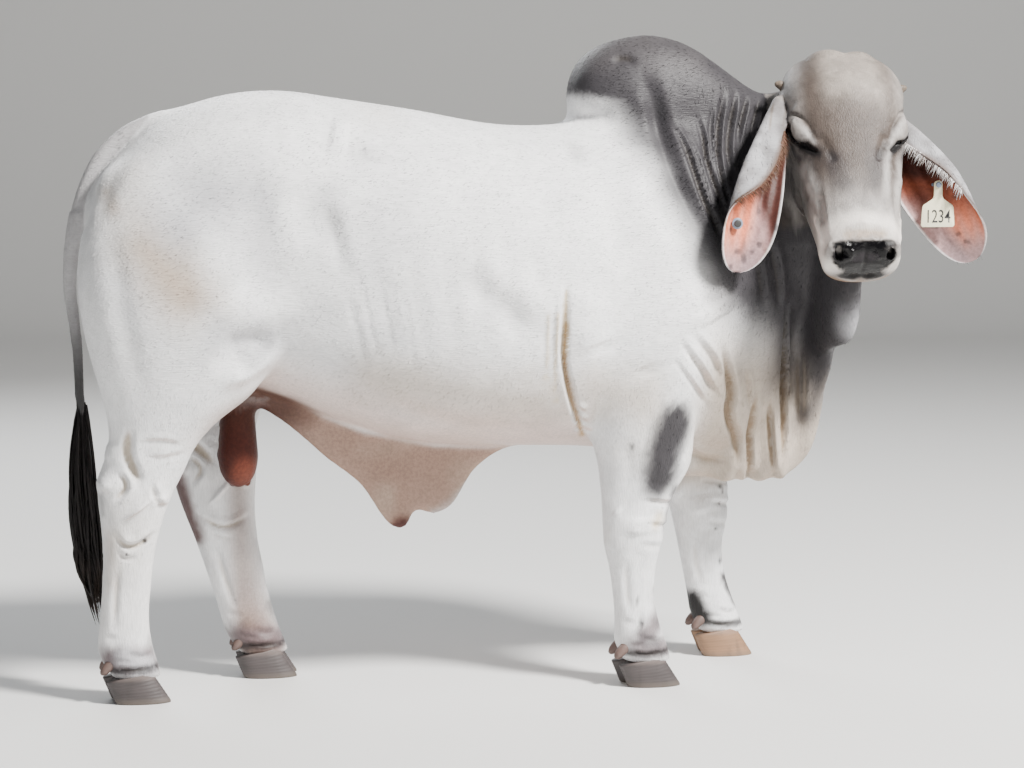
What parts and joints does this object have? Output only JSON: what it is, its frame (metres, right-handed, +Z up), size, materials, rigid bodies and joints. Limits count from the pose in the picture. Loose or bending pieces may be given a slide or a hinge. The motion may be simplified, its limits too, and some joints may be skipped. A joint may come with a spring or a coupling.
{
  "type": "brahman bull, life-size still model",
  "caption": "Life-size still model of a grey Brahman bull standing square, head turned to its right, with hump, dewlap, long ears and an ear tag.",
  "frame": {"origin": "on the floor, at the middle of the model's box", "axes": "+X from rump to chest, +Y to the bull's left, +Z up"},
  "size_m": [2.2808, 0.873, 1.6456],
  "materials": {
    "coat_pale": "short hair",
    "coat_grey": "short hair",
    "coat_face": "short hair",
    "ear_skin": "thin bare skin and short hair",
    "bare_skin": "bare skin",
    "eye": "wet gloss",
    "horn": "rough horn",
    "hoof": "worn horn",
    "tail_hair": "coarse long hair",
    "tag": "matt moulded",
    "button": "matt moulded"
  },
  "bodies": {
    "root": {"claw_fore_right_outer": "hoof", "claw_fore_right_inner": "hoof", "dewclaw_fore_right_outer": "hoof", "dewclaw_fore_right_inner": "hoof", "claw_fore_left_outer": "hoof", "claw_fore_left_inner": "hoof", "dewclaw_fore_left_outer": "hoof", "dewclaw_fore_left_inner": "hoof", "claw_hind_right_outer": "hoof", "claw_hind_right_inner": "hoof", "dewclaw_hind_right_outer": "hoof", "dewclaw_hind_right_inner": "hoof", "claw_hind_left_outer": "hoof", "claw_hind_left_inner": "hoof", "dewclaw_hind_left_outer": "hoof", "dewclaw_hind_left_inner": "hoof", "eye_right": "eye", "horn_right": "horn", "eye_left": "eye", "horn_left": "horn", "head": "coat_face", "ear_right": "ear_skin", "ear_left": "ear_skin", "ear_button": "button", "ear_tag_stud": "button", "ear_tag_panel": "tag", "tail_root": "coat_pale", "tail_middle": "coat_grey", "tail_switch": "tail_hair", "scrotum": "bare_skin", "sheath": "bare_skin", "fore_right_upper": "coat_pale", "fore_right_lower": "coat_pale", "fore_left_upper": "coat_pale", "fore_left_lower": "coat_pale", "hind_right_thigh": "coat_pale", "hind_right_hock": "coat_pale", "hind_right_cannon": "coat_pale", "hind_left_thigh": "coat_pale", "hind_left_hock": "coat_pale", "hind_left_cannon": "coat_pale", "dewlap": "coat_grey", "hump": "coat_grey", "neck": "coat_grey", "torso": "coat_pale"}
  },
  "joints": []
}
